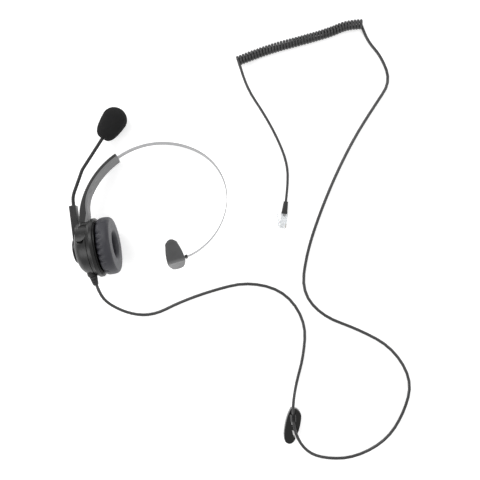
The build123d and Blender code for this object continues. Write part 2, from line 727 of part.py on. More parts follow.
def boom_plan():
    """Plan of the boom arm, seen along the cup's axis: round hub and tapered arm."""
    hub = Circle(HUB_R)
    tip = BOOM_ARM_TIP_W / 2
    root = BOOM_ARM_W / 2
    arm = make_face(Polyline(
        (-root, 0), (root, 0), (tip, BOOM_ARM_END), (-tip, BOOM_ARM_END), close=True
    ))
    return hub + arm


def boom_slab(x0, x1, plan):
    """Plan (first axis across, second axis along the boom) raised from x0 to x1."""
    plane = Plane(origin=(x0, 0, 0), x_dir=(0, 0, -1), z_dir=(1, 0, 0))
    return extrude(plane * plan, x1 - x0)


def boom_side(x_in):
    """Side outline of the boom arm: thin over the housing, thick beyond it."""
    s0, s1 = BOOM_ARM_STEP
    split = HUB_OUT_X + BOOM_COVER_T
    front = boom_hub_front()
    over = BACK_X - HUB_GAP
    return make_face(Polyline(
        (split, -HUB_R - 1), (front, -HUB_R - 1), (front, HUB_R), (over, HUB_R), (over, s0),
        (x_in, s1), (x_in, BOOM_ARM_END), (split, BOOM_ARM_END), close=True,
    ))


def boom_arm():
    body = boom_slab(HUB_OUT_X, BOOM_SOCKET_X, boom_plan())
    body &= extrude(boom_side(BOOM_SOCKET_X), 2 * HUB_R, both=True)
    body -= disc_x(HUB_POST_R + PIN_RUNNING, HUB_OUT_X - 1, 0)
    body -= disc_x(HUB_CUP_R, HUB_OUT_X - 1, boom_hub_front() - HUB_WEB)
    slot = Pos(GOOSE_X, 0, 0) * goose_bar(GOOSE_R + 0.02, GOOSE_ROOT)
    mouth = Pos(GOOSE_X, BOOM_ARM_END - 2.2, 0) * Box(2 * GOOSE_R + 1.0, 5, 2 * GOOSE_R + 1.4)
    return body - slot - mouth


def goose_bar(radius, start):
    length = BOOM_ARM_END + 2 - start
    return Pos(0, start + length / 2, 0) * Rot(90, 0, 0) * Cylinder(radius, length)


def boom_cover():
    plate = boom_slab(HUB_OUT_X, HUB_OUT_X + BOOM_COVER_T, boom_plan())
    outer = plate.faces().sort_by(Axis.X)[0].edges()
    plate = fillet(outer, 0.7)
    return plate - disc_x(HUB_CUP_R, HUB_OUT_X - 1, 0)


def hub_washer():
    front = boom_hub_front() - HUB_WEB - 0.05
    return ring_x(WASHER_R, HUB_SCREW_R + 0.1, front - WASHER_T, front)


def hub_screw():
    front = boom_hub_front() - HUB_WEB - 0.05 - WASHER_T
    head = disc_x(HUB_SCREW_HEAD_R, front - HUB_SCREW_HEAD_H, front)
    head -= Pos(front - HUB_SCREW_HEAD_H, 0, 0) * Box(0.9, 0.6, 3.4)
    return head + disc_x(HUB_SCREW_R - 0.02, front, front + 6.5)


def hub_cap():
    cap = disc_x(HUB_CUP_R - 0.1, HUB_OUT_X - 0.1, HUB_OUT_X + CAP_T)
    outer = cap.edges().filter_by(GeomType.CIRCLE).sort_by(Axis.X)[0]
    return fillet(outer, 0.5)


def goose_path():
    """Centre line of the gooseneck in the boom's plane."""
    r1, turn1 = GOOSE_ARC_1
    r2, turn2 = GOOSE_ARC_2
    lean = radians(GOOSE_LEAN)
    stub = Line((GOOSE_X, GOOSE_ROOT), (GOOSE_X, BOOM_ARM_END))
    first = JernArc(start=stub @ 1, tangent=(sin(lean), cos(lean)), radius=r1, arc_size=-turn1)
    run = Line(first @ 1, (first @ 1) + (first % 1) * GOOSE_STRAIGHT)
    second = JernArc(start=run @ 1, tangent=run % 1, radius=r2, arc_size=-turn2)
    tip = Line(second @ 1, (second @ 1) + (second % 1) * GOOSE_TIP)
    return stub, first, run, second, tip


def tube_along(edges):
    path = Wire(edges)
    start = Plane(origin=path @ 0, z_dir=path % 0)
    return sweep(start * Circle(GOOSE_R), path=path)


def flex_points():
    _, _, run, _, tip = goose_path()
    lower = (run @ 0) + (run % 0) * FLEX_1
    upper = (tip @ 0) + (tip % 0) * FLEX_2
    return lower, upper


def ball(point, radius):
    return Pos(point.X, point.Y, 0) * Sphere(radius)


def goose_lower():
    stub, first, run, _, _ = goose_path()
    lower, _ = flex_points()
    tube = tube_along([first, Line(run @ 0, lower)])
    root = tube_along([stub])
    return root + tube - ball(lower, GOOSE_R + FLEX_GAP)


def goose_middle():
    _, _, run, second, tip = goose_path()
    lower, upper = flex_points()
    tube = tube_along([Line(lower, run @ 1), second, Line(second @ 1, upper)])
    return tube + ball(lower, FLEX_BALL_R) - ball(upper, GOOSE_R + FLEX_GAP)


def goose_upper():
    _, _, _, _, tip = goose_path()
    _, upper = flex_points()
    end = (tip @ 0) + (tip % 0) * MIC_START
    return tube_along([Line(upper, end)]) + ball(upper, FLEX_BALL_R)


def mic_frame():
    """Local +X runs along the last straight, from the foot of the microphone."""
    _, _, _, _, tip = goose_path()
    start = (tip @ 0) + (tip % 0) * MIC_START
    return Location(Plane(origin=(start.X, start.Y, 0), x_dir=tip % 0, z_dir=(0, 0, 1)))


def mic_capsule():
    body = disc_x(MIC_R, 0, MIC_L)
    body -= disc_x(MIC_R - MIC_WALL, 1.5, MIC_L + 1)
    body += disc_x(GOOSE_R + 1.1, -3.0, 0)
    return body - disc_x(GOOSE_R, -4, 0)


def mic_element():
    return disc_x(MIC_R - MIC_WALL, MIC_L - 7.5, MIC_L - 1.2)


def mic_grille():
    grille = disc_x(MIC_R - MIC_WALL, MIC_L - 1.2, MIC_L - 0.2)
    for n in range(6):
        y, z = on_circle(60 * n, 2.2)
        grille -= Pos(0, y, z) * disc_x(0.55, 0, MIC_L + 1)
    return grille - disc_x(0.55, 0, MIC_L + 1)


def foam_windscreen():
    """Foam sleeve over the capsule: round at its far end, flatter at its mouth."""
    far = FOAM_MOUTH + FOAM_L
    foot = FOAM_MOUTH + FOAM_FOOT_ROUND
    edge = (FOAM_MOUTH, FOAM_NECK_R - FOAM_FOOT_ROUND)
    foot_arc = CenterArc((foot, edge[1]), FOAM_FOOT_ROUND, 90, 90)
    side = Line((foot, FOAM_NECK_R), (far - FOAM_R, FOAM_R))
    end_arc = CenterArc((far - FOAM_R, 0), FOAM_R, 0, 90)
    body = lathe_x(
        foot_arc, side, end_arc, Line((far, 0), (FOAM_MOUTH, 0)), Line((FOAM_MOUTH, 0), edge)
    )
    body -= disc_x(MIC_R, 0, MIC_L)
    body -= disc_x(GOOSE_R + 1.1, FOAM_MOUTH - 1, 0)
    return body


# ================================================================ strain relief and cords
def strain_relief():
    """Tapered sleeve with cut rings, its flange held inside the housing's collar."""
    start = RELIEF_FROM + 1.4
    end = RELIEF_FROM + RELIEF_L
    body = lathe_x(Polyline(
        (start, 0), (start, RELIEF_R - 0.02), (start + 2.2, RELIEF_R - 0.02),
        (end - 1.0, RELIEF_END_R), (end, RELIEF_END_R - 0.4), (end, 0), close=True,
    ))
    body += disc_x(RELIEF_BORE_R - 0.02, RELIEF_FROM - 3, start)
    pitch = 2.7
    for n in range(3):
        x = start + 4.0 + n * pitch
        for side in (1, -1):
            cut = Pos(x, 0, side * (RELIEF_END_R + 0.9)) * Box(1.1, 4 * RELIEF_R, 3.4)
            body -= cut
    return body - disc_x(LEAD_R, RELIEF_FROM - 5, end + 1)


def cord_radii(points, name):
    """Arc radius at each corner: as large as its two runs allow."""
    corners = [Vector(*p) for p in points]
    radii = []
    for before, here, after in zip(corners, corners[1:], corners[2:]):
        run_in = here - before
        run_out = after - here
        turn = radians(run_in.get_angle(run_out))
        radii.append(0.45 * min(run_in.length, run_out.length) / tan(turn / 2))
    print(name, "arc radii", [round(r, 1) for r in radii])
    return radii


def relief_point(distance):
    spot = (CUP * relief_frame() * Pos(distance, 0, 0)).position
    return (spot.X, spot.Y, spot.Z)


def plug_point(distance):
    spot = (PLUG * Pos(distance, 0, 0)).position
    return (spot.X, spot.Y, spot.Z)


def lead_route():
    """The lead starts inside the strain relief and leaves along it."""
    inside = relief_point(RELIEF_FROM + 3.0)
    beyond = relief_point(RELIEF_FROM + RELIEF_L + 8.0)
    return (inside, beyond, *LEAD_ROUTE)


def tail_route():
    """The tail ends inside the plug's boot, along it."""
    return (*TAIL_ROUTE, plug_point(-16.0), plug_point(5.0))


def cord_tube(points, radius, name):
    path = FilletPolyline(*points, radius=cord_radii(points, name))
    start = Plane(origin=path @ 0, z_dir=path % 0)
    tube = sweep(start * Circle(radius), path=path)
    ideal = pi * radius**2 * path.length
    print(name, "length", round(path.length, 1), "volume ratio", round(tube.volume / ideal, 4))
    return tube


# ================================================================ plug
def plug_boot():
    """Ribbed boot: round where the lead enters, flat where it meets the plug."""
    near = Plane(origin=(0, 0, 0), x_dir=(0, 1, 0), z_dir=(1, 0, 0)) * Circle(BOOT_R)
    far = Plane(origin=(BOOT_L, 0, 0), x_dir=(0, 1, 0), z_dir=(1, 0, 0)) * RectangleRounded(
        BOOT_END_H, BOOT_END_W - 0.4, 1.2
    )
    body = loft([near, far])
    for n in range(3):
        x = 3.2 + 2.4 * n
        for side in (1, -1):
            body -= Pos(x, side * (BOOT_R + 1.7 + 0.18 * x), 0) * Box(1.0, 3.0, 12)
    tongue = Pos(BOOT_L + PLUG_OVERLAP / 2, 0, 0) * Box(PLUG_OVERLAP, 2.6, 5.2)
    return body + tongue - disc_x(TAIL_R, -1, BOOT_L - 4)


def plug_body():
    """Clear modular plug lying on its side: its width stands up, its latch points sideways."""
    start = BOOT_L
    end = BOOT_L + PLUG_L
    body = Pos((start + end) / 2, 0, 0) * Box(PLUG_L, PLUG_H, PLUG_W)
    nose = body.faces().sort_by(Axis.X)[-1].edges()
    body = chamfer(nose, 0.6)
    body -= Pos(start + PLUG_OVERLAP / 2, 0, 0) * Box(PLUG_OVERLAP + 0.02, 2.6, 5.2)
    for n in range(4):
        z = (n - 1.5) * CONTACT_PITCH
        groove = Pos(end - CONTACT_L / 2 - 0.8, PLUG_H / 2, z)
        body -= groove * Box(CONTACT_L + 1.2, 1.9, CONTACT_T + 0.25)
    return body


def plug_contacts():
    end = BOOT_L + PLUG_L
    blades = []
    for n in range(4):
        z = (n - 1.5) * CONTACT_PITCH
        blade = Pos(end - CONTACT_L / 2 - 0.8, PLUG_H / 2 - 0.55, z)
        blades.append(blade * Box(CONTACT_L, 0.8, CONTACT_T))
    return Compound(children=blades)


def plug_latch():
    """Sprung tongue that hangs from the nose and rises towards the boot."""
    end = BOOT_L + PLUG_L
    hinge_x = end - 1.4
    base = -PLUG_H / 2 - 0.25
    tongue = Pos(-LATCH_L / 2, -LATCH_T / 2, 0) * Box(LATCH_L, LATCH_T, LATCH_W)
    tongue += Pos(-LATCH_L * 0.42, -LATCH_T / 2, 0) * Box(2.0, LATCH_T, PLUG_W * 0.78)
    tip = Pos(-LATCH_L - 0.2, -LATCH_T / 2, 0) * Box(1.6, LATCH_T, LATCH_W * 0.8)
    return Pos(hinge_x, base, 0) * Rot(0, 0, LATCH_RISE) * (tongue + tip)


# ================================================================ clothing clip
def clip_leaf(outer, inner, height):
    """Half of the closed clip seen from above, with rounded outer edges."""
    curve = Spline([Vector(*p) for p in outer])
    back = Spline([Vector(*p) for p in inner])
    edges = [curve, back, Line(back @ 1, curve @ 0)]
    if (curve @ 1 - back @ 0).length > 0.01:
        edges.append(Line(curve @ 1, back @ 0))
    leaf = extrude(make_face(edges), height)
    top = leaf.faces().sort_by(Axis.Z)[-1].edges().sort_by(Edge.length)[-1]
    return fillet(top, CLIP_ROUND)


def clip_barrel(radius, z0, z1):
    return Pos(*CLIP_PIN_AT, (z0 + z1) / 2) * Cylinder(radius, z1 - z0)


def clip_link(towards, z0, z1):
    """Web that joins a barrel of the hinge to its lever."""
    return Pos(CLIP_PIN_AT[0], (CLIP_PIN_AT[1] + towards) / 2, (z0 + z1) / 2) * Box(
        2 * CLIP_KNUCKLE_R - 1, abs(towards - CLIP_PIN_AT[1]), z1 - z0
    )


def clip_base():
    """Fixed lever; its two ears hold the ends of the pin."""
    low, high = CLIP_EAR_T, CLIP_LEVER_H - CLIP_EAR_T
    leaf = clip_leaf(CLIP_BASE_OUTER, CLIP_BASE_INNER, CLIP_H)
    for z0, z1 in ((0, low), (high, CLIP_LEVER_H)):
        leaf += clip_barrel(CLIP_KNUCKLE_R, z0, z1) + clip_link(2.0, z0, z1)
    leaf -= clip_barrel(CLIP_KNUCKLE_R + CLIP_GAP, low, high)
    return leaf - clip_barrel(CLIP_PIN_R, 0.6, CLIP_H + 1)


def clip_lever():
    """Sprung lever; its knuckle turns on the pin between the base's ears."""
    low, high = CLIP_EAR_T + CLIP_GAP, CLIP_LEVER_H - CLIP_EAR_T - CLIP_GAP
    leaf = clip_leaf(CLIP_LEVER_OUTER, CLIP_LEVER_INNER, CLIP_LEVER_H)
    leaf -= clip_barrel(CLIP_KNUCKLE_R + CLIP_GAP, -1, low)
    leaf -= clip_barrel(CLIP_KNUCKLE_R + CLIP_GAP, high, CLIP_H)
    leaf += clip_barrel(CLIP_KNUCKLE_R, low, high) + clip_link(-5.0, low, high)
    leaf -= clip_barrel(2.0, low + 0.8, high - 0.8)
    leaf -= clip_barrel(CLIP_PIN_R + PIN_RUNNING, 0, CLIP_H)
    return leaf & (Pos(0, 0, CLIP_H / 2 + 0.1) * Box(60, 40, CLIP_H))


def clip_pin():
    return clip_barrel(CLIP_PIN_R, 0.6, CLIP_LEVER_H)


def clip_spring():
    """Torsion spring in the lever's knuckle, round the pin."""
    low, high = CLIP_EAR_T + CLIP_GAP + 1.0, CLIP_LEVER_H - CLIP_EAR_T - CLIP_GAP - 1.0
    return clip_barrel(1.7, low, high) - clip_barrel(CLIP_PIN_R + 0.1, low, high)


def clip_ring():
    """Open ring that snaps over the lead, on a plate on top of the clip's base lever."""
    ring = disc_x(CLIP_RING_R, -CLIP_RING_L / 2, CLIP_RING_L / 2)
    ring -= disc_x(LEAD_R + 0.1, -CLIP_RING_L, CLIP_RING_L)
    ring -= Pos(0, 0, CLIP_RING_R) * Box(CLIP_RING_L + 1, 1.8, 2 * CLIP_RING_R)
    spot = CLIP.inverse() * lead_over_clip()
    plate = Pos(spot.position.X, 1.2, CLIP_H + CLIP_PLATE_T / 2) * Box(5.0, 5.4, CLIP_PLATE_T)
    return spot * ring + plate


def lead_over_clip():
    """Local frame on the level stretch of the lead that passes over the clip."""
    first, second = (Vector(*point) for point in LEAD_OVER_CLIP)
    return Location(Plane(origin=(first + second) / 2, x_dir=second - first, z_dir=(0, 0, 1)))


# ================================================================ write the parts
os.makedirs("parts", exist_ok=True)


def keep(name, frame, solid):
    export_step(frame * solid, f"parts/{name}.step")


if __name__ == "__main__":
    keep("ear_housing", CUP, ear_housing())
    keep("trim_ring", CUP, trim_ring())
    keep("speaker_baffle", CUP, baffle())
    keep("baffle_screws", CUP, baffle_screws())
    keep("speaker_frame", CUP, speaker_frame())
    keep("speaker_magnet", CUP, speaker_magnet())
    keep("speaker_cone", CUP, speaker_cone())
    keep("acoustic_cloth", CUP, acoustic_cloth())
    keep("cushion_ring", CUP, cushion_ring())
    keep("ear_cushion", CUP, ear_cushion())
    keep("yoke", CUP, yoke())
    keep("yoke_pins", CUP, yoke_pins())
    keep("swivel_peg", CUP, swivel_peg())
    keep("arm_shell", RING, arm_shell())
    keep("arm_cover", RING, arm_cover())
    keep("arm_screws", RING, arm_screws())
    keep("detent_spring", RING, detent_spring())
    keep("head_band", RING, head_band())
    keep("band_stop", RING, band_stop())
    keep("band_ferrule", RING * band_end(), band_ferrule())
    TPAD = RING * band_end() * Rot(TPAD_TURN_REST, 0, 0)
    keep("temple_pad_shell", TPAD, tpad_shell())
    keep("temple_pad_cushion", TPAD, tpad_cushion())
    keep("boom_arm", BOOM, boom_arm())
    keep("boom_cover", BOOM, boom_cover())
    keep("hub_washer", BOOM, hub_washer())
    keep("hub_screw", CUP, hub_screw())
    keep("hub_cap", BOOM, hub_cap())
    keep("gooseneck_lower", BOOM, goose_lower())
    keep("gooseneck_middle", BOOM, goose_middle())
    keep("gooseneck_upper", BOOM, goose_upper())
    MIC = BOOM * mic_frame()
    keep("mic_capsule", MIC, mic_capsule())
    keep("mic_element", MIC, mic_element())
    keep("mic_grille", MIC, mic_grille())
    keep("foam_windscreen", MIC, foam_windscreen())
    keep("strain_relief", CUP * relief_frame(), strain_relief())
    keep("lead_cord", Pos(0, 0, 0), cord_tube(lead_route(), LEAD_R, "lead"))
    keep("curly_cord", Pos(0, 0, 0), cord_tube(CURL_ROUTE, CURL_R, "curl"))
    keep("tail_cord", Pos(0, 0, 0), cord_tube(tail_route(), TAIL_R, "tail"))
    keep("plug_boot", PLUG, plug_boot())
    keep("plug_body", PLUG, plug_body())
    keep("plug_contacts", PLUG, plug_contacts())
    keep("plug_latch", PLUG, plug_latch())
    keep("clip_base", CLIP, clip_base())
    keep("clip_lever", CLIP, clip_lever())
    keep("clip_pin", CLIP, clip_pin())
    keep("clip_spring", CLIP, clip_spring())
    keep("clip_ring", CLIP, clip_ring())
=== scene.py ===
# %% [markdown]
# # Office headset with one ear cup, a sprung band, a boom microphone and a long lead
# The exact parts come from the CAD frame: shells, arm, yoke, band, plug and clip. This lesson adds
# what CAD can't show well: the puffed ear cushion, the foam windscreen, the ribbed gooseneck, the
# loose lead with its curly stretch, and a finish for every part.

# %% Load the frame
from math import atan2, cos, hypot, pi, radians, sin

import bmesh
import bpy
from mathutils import Matrix, Vector, noise


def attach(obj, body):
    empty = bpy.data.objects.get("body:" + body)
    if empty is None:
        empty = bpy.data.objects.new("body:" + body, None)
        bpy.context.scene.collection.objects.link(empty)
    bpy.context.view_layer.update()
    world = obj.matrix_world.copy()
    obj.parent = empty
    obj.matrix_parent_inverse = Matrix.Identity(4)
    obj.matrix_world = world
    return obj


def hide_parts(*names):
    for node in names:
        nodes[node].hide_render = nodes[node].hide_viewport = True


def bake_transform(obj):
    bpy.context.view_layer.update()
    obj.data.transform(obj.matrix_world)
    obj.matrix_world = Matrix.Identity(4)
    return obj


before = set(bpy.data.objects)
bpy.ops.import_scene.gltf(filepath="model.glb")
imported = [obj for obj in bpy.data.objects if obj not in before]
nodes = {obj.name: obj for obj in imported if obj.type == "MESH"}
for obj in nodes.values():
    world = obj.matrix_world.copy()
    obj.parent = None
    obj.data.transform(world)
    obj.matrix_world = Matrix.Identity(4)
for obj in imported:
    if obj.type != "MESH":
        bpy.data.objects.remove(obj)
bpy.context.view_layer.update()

MM = 0.001

# %% [markdown]
# ## Camera, floor and light
# The headset lies on a white table and is seen from straight above, as in a catalogue. The camera
# hangs 600 mm over the table and its lens takes in a square of 480 mm, so the table's scale is
# simple to check. A pale world light and three soft boxes keep shadows faint, and leave long soft
# highlights on the black plastic.

# %% Camera
EYE_HEIGHT = 0.600
EYE_PLACE = (0.0876, -0.0428)
TABLE_SIDE = 0.480

camera_data = bpy.data.cameras.new("overhead_camera")
camera = bpy.data.objects.new("overhead_camera", camera_data)
bpy.context.scene.collection.objects.link(camera)
camera.location = (*EYE_PLACE, EYE_HEIGHT)
camera_data.sensor_width = 36
camera_data.lens = 36 * EYE_HEIGHT / TABLE_SIDE
camera_data.clip_start = 0.01
camera_data.clip_end = 20
bpy.context.scene.camera = camera
print("lens in mm", round(camera_data.lens, 1))

# %% Floor and lights
FLOOR_SIDE = 6.0
FLOOR_UNDER = 0.0002                # the table top is this far under the lowest part
FLOOR_WHITE = (0.9, 0.9, 0.9, 1)
FLOOR_GLOW = 0.42                   # a faint glow keeps the shadows pale
SKY_LIGHT = 0.72


def deselect():
    bpy.ops.object.select_all(action="DESELECT")


def soft_box(name, place, aim, side, watts):
    """A square area light at place that points at aim."""
    data = bpy.data.lights.new(name, "AREA")
    data.shape = "SQUARE"
    data.size = side
    data.energy = watts
    light = bpy.data.objects.new(name, data)
    bpy.context.scene.collection.objects.link(light)
    light.location = place
    light.rotation_euler = (Vector(aim) - Vector(place)).to_track_quat("-Z", "Y").to_euler()


deselect()
bpy.ops.mesh.primitive_plane_add(size=FLOOR_SIDE, location=(*EYE_PLACE, -FLOOR_UNDER))
floor = bpy.context.object
floor.name = "table_top"
paint = bpy.data.materials.new("table_white")
paint.use_nodes = True
paint_shader = paint.node_tree.nodes["Principled BSDF"]
paint_shader.inputs["Base Color"].default_value = FLOOR_WHITE
paint_shader.inputs["Roughness"].default_value = 0.9
paint_shader.inputs["Emission Color"].default_value = (1, 1, 1, 1)
paint_shader.inputs["Emission Strength"].default_value = FLOOR_GLOW
floor.data.materials.append(paint)

sky = bpy.data.worlds.new("studio")
bpy.context.scene.world = sky
sky.use_nodes = True
sky.node_tree.nodes["Background"].inputs["Color"].default_value = (1, 1, 1, 1)
sky.node_tree.nodes["Background"].inputs["Strength"].default_value = SKY_LIGHT
soft_box("key_box", (-0.7, 0.9, 1.1), (0.05, 0, 0), 0.7, 9)
soft_box("side_box", (-1.1, -0.5, 0.8), (0, 0, 0), 0.6, 5)
soft_box("fill_box", (1.2, 0.2, 1.1), (0.05, 0, 0), 0.8, 4)
bpy.context.scene.view_settings.view_transform = "Standard"
print("lights", [light.name for light in bpy.data.lights])

# %% [markdown]
# ## Finishes
# Nearly every part of a headset is black, so the finishes differ in gloss, grain and tone more than
# in colour. Two shader groups hold what the finishes share: a moulded grain with faint smudges, and a
# hide of small cells with pores for the leatherette. Each material then sets its own scale and depth,
# and keeps its Principled shader outside the group.

# %% A group: moulded grain and smudges
def new_group(name, inputs, outputs):
    group = bpy.data.node_groups.new(name, "ShaderNodeTree")
    for title, kind in inputs:
        group.interface.new_socket(title, in_out="INPUT", socket_type=kind)
    for title in outputs:
        group.interface.new_socket(title, in_out="OUTPUT", socket_type="NodeSocketFloat")
    return group, group.nodes.new("NodeGroupInput"), group.nodes.new("NodeGroupOutput")


def noise_in(group, source, scale_socket, scale_by, detail):
    """A noise texture on the group's coordinates, at a multiple of the scale input."""
    times = group.nodes.new("ShaderNodeMath")
    times.operation = "MULTIPLY"
    times.inputs[1].default_value = scale_by
    group.links.new(scale_socket, times.inputs[0])
    noise_node = group.nodes.new("ShaderNodeTexNoise")
    noise_node.inputs["Detail"].default_value = detail
    group.links.new(source, noise_node.inputs["Vector"])
    group.links.new(times.outputs[0], noise_node.inputs["Scale"])
    return noise_node.outputs["Fac"]


FLOAT, VECTOR = "NodeSocketFloat", "NodeSocketVector"
grain_group, grain_in, grain_out = new_group(
    "moulded_grain", [("Place", VECTOR), ("Scale", FLOAT)], ["Grain", "Smudge"])
grain_group.links.new(
    noise_in(grain_group, grain_in.outputs["Place"], grain_in.outputs["Scale"], 1.0, 2.0),
    grain_out.inputs["Grain"])
grain_group.links.new(
    noise_in(grain_group, grain_in.outputs["Place"], grain_in.outputs["Scale"], 0.03, 4.0),
    grain_out.inputs["Smudge"])

# %% A group: cells and pores
cell_group, cell_in, cell_out = new_group(
    "cells_and_pores", [("Place", VECTOR), ("Scale", FLOAT)], ["Cells", "Smudge"])
cells = cell_group.nodes.new("ShaderNodeTexVoronoi")
cells.feature = "DISTANCE_TO_EDGE"
cell_group.links.new(cell_in.outputs["Place"], cells.inputs["Vector"])
cell_group.links.new(cell_in.outputs["Scale"], cells.inputs["Scale"])
soften = cell_group.nodes.new("ShaderNodeMapRange")
soften.inputs["From Max"].default_value = 0.22
cell_group.links.new(cells.outputs["Distance"], soften.inputs["Value"])
cell_group.links.new(soften.outputs["Result"], cell_out.inputs["Cells"])
cell_group.links.new(
    noise_in(cell_group, cell_in.outputs["Place"], cell_in.outputs["Scale"], 0.06, 4.0),
    cell_out.inputs["Smudge"])
print("shader groups", grain_group.name, cell_group.name)


# %% One recipe for a finish
def finish(name, dark, light, rough, group=grain_group, scale=2600.0, bump=0.15, depth=0.00006,
           **constants):
    """Principled material: tone and gloss wander with the smudges, the grain gives the bump."""
    material = bpy.data.materials.new(name)
    material.use_nodes = True
    tree = material.node_tree
    shader = tree.nodes["Principled BSDF"]
    place = tree.nodes.new("ShaderNodeTexCoord")
    effect = tree.nodes.new("ShaderNodeGroup")
    effect.node_tree = group
    effect.inputs["Scale"].default_value = scale
    tree.links.new(place.outputs["Object"], effect.inputs["Place"])
    tone = tree.nodes.new("ShaderNodeMix")
    tone.data_type = "RGBA"
    tone.inputs["A"].default_value = (*dark, 1)
    tone.inputs["B"].default_value = (*light, 1)
    tree.links.new(effect.outputs["Smudge"], tone.inputs["Factor"])
    tree.links.new(tone.outputs["Result"], shader.inputs["Base Color"])
    gloss = tree.nodes.new("ShaderNodeMapRange")
    gloss.inputs["To Min"].default_value = rough[0]
    gloss.inputs["To Max"].default_value = rough[1]
    tree.links.new(effect.outputs["Smudge"], gloss.inputs["Value"])
    tree.links.new(gloss.outputs["Result"], shader.inputs["Roughness"])
    relief = tree.nodes.new("ShaderNodeBump")
    relief.inputs["Strength"].default_value = bump
    relief.inputs["Distance"].default_value = depth
    tree.links.new(effect.outputs[0], relief.inputs["Height"])
    tree.links.new(relief.outputs["Normal"], shader.inputs["Normal"])
    for socket, value in constants.items():
        shader.inputs[socket.replace("_", " ")].default_value = value
    return material


def grey(value):
    return (value, value, value * 1.02)


moulded = finish("moulded_black", grey(0.004), grey(0.010), (0.30, 0.42), Specular_IOR_Level=0.36)
satin = finish("satin_black", grey(0.004), grey(0.010), (0.24, 0.36), scale=1800.0,
               Specular_IOR_Level=0.36)
# The arm's inner cover is black plastic painted mid grey: a painted highlight for the sky light its
# face catches
painted_highlight_arm = finish("painted_highlight_arm_grey", grey(0.11), grey(0.16), (0.35, 0.5), scale=1600.0)
temple_shell = finish("temple_shell_black", grey(0.050), grey(0.085), (0.20, 0.30))
glossy = finish("glossy_black", grey(0.003), grey(0.007), (0.12, 0.22), bump=0.05,
                Specular_IOR_Level=0.4)
cable_skin = finish("cable_jacket", grey(0.022), grey(0.040), (0.24, 0.34), scale=1500.0)
leatherette = finish("leatherette", (0.013, 0.013, 0.019), (0.024, 0.024, 0.032), (0.40, 0.52),
                     cell_group, 1900.0, 0.35, 0.00012, Coat_Weight=0.08, Coat_Roughness=0.45)
foam_cells = finish("foam_cells", grey(0.010), grey(0.024), (0.92, 1.0), cell_group, 1500.0, 0.9,
                    0.0005, Specular_IOR_Level=0.2)
rubber = finish("soft_rubber", grey(0.008), grey(0.016), (0.5, 0.65), scale=1500.0)
spring_strip = finish("brushed_spring_steel", grey(0.30), grey(0.40), (0.30, 0.42), scale=900.0,
                      bump=0.08, Metallic=0.75)
small_steel = finish("plated_steel", grey(0.40), grey(0.55), (0.22, 0.34), Metallic=1.0)
dark_steel = finish("blackened_steel", grey(0.03), grey(0.05), (0.30, 0.42), Metallic=0.8)
magnet_skin = finish("magnet_nickel", grey(0.45), grey(0.60), (0.20, 0.34), Metallic=1.0)
film = finish("cone_film", (0.30, 0.30, 0.26), (0.38, 0.37, 0.33), (0.25, 0.35), Alpha=0.9)
mesh_cloth = finish("acoustic_mesh", grey(0.012), grey(0.026), (0.85, 0.95), cell_group, 3200.0, 0.8,
                    0.0002)
gold = finish("gold_plate", (0.70, 0.45, 0.16), (0.85, 0.58, 0.24), (0.18, 0.30), Metallic=1.0)
clear = finish("clear_plastic", (0.86, 0.88, 0.90), (0.92, 0.94, 0.95), (0.08, 0.16), bump=0.04,
               Transmission_Weight=0.72, IOR=1.49)
print("finishes", len(bpy.data.materials))

# %% Which part wears which finish
WEARS = {
    moulded: ["ear_housing", "trim_ring", "speaker_baffle", "cushion_ring", "yoke", "arm_shell",
              "boom_cover", "band_stop", "mic_capsule", "speaker_frame", "hub_washer"],
    satin: ["boom_arm", "hub_cap", "mic_grille"],
    # the arm's cover and its screws wear the painted highlight grey
    painted_highlight_arm: ["arm_cover", "arm_screws"],
    temple_shell: ["temple_pad_shell"],
    glossy: ["clip_base", "clip_lever", "clip_ring"],
    rubber: ["strain_relief", "temple_pad_cushion", "plug_boot", "gooseneck_lower",
             "gooseneck_middle", "gooseneck_upper", "band_ferrule"],
    cable_skin: ["lead_cord", "curly_cord", "tail_cord"],
    spring_strip: ["head_band"],
    small_steel: ["baffle_screws", "hub_screw", "detent_spring", "clip_spring", "mic_element"],
    dark_steel: ["yoke_pins", "swivel_peg", "clip_pin"],
    magnet_skin: ["speaker_magnet"],
    film: ["speaker_cone"],
    mesh_cloth: ["acoustic_cloth"],
    gold: ["plug_contacts"],
    clear: ["plug_body", "plug_latch"],
    leatherette: ["ear_cushion"],
    foam_cells: ["foam_windscreen"],
}
for material, names in WEARS.items():
    for name in names:
        part = nodes[name]
        if not part.material_slots:
            part.data.materials.append(material)
        for slot in part.material_slots:
            slot.material = material
worn = {name for names in WEARS.values() for name in names}
print("parts without a finish", sorted(set(nodes) - worn))

# %% [markdown]
# ## Frames of the cup, the boom and the temple pad
# New pieces are made upright at the origin, where they are easy to shape, and are then carried to
# their place by one matrix. The matrices repeat how the headset lies: the cup stands on its edge,
# turned a little and leaning, and the boom is turned about the cup's axis.

# %% Frames
CUP_CENTRE = (-45.3, -49.5, 28.2)
CUP_HEADING = 9.6
BAND_LEAN = 11.2
BOOM_TURN = 3.75
cup_frame = (Matrix.Translation(MM * Vector(CUP_CENTRE)) @ Matrix.Rotation(radians(CUP_HEADING), 4, "Z")
             @ Matrix.Rotation(radians(-BAND_LEAN), 4, "X"))
boom_frame = cup_frame @ Matrix.Rotation(radians(BOOM_TURN), 4, "X")
TEMPLE_AT = (26.35, -61.58, 26.80)
TEMPLE_X = Vector((-0.9564, -0.2753, 0.0980))      # along the band's end
TEMPLE_Y = Vector((0.2818, -0.7805, 0.5580))       # away from the head
temple_frame = Matrix((TEMPLE_X, TEMPLE_Y, TEMPLE_X.cross(TEMPLE_Y))).transposed().to_4x4()
temple_frame.translation = MM * Vector(TEMPLE_AT)


def place_mesh(piece, frame_matrix):
    """Carry a finished mesh to its place and leave its object at the origin."""
    piece.data.transform(frame_matrix @ piece.matrix_world)
    piece.matrix_world = Matrix.Identity(4)
    piece.data.update()


def make_active(piece):
    deselect()
    piece.select_set(True)
    bpy.context.view_layer.objects.active = piece


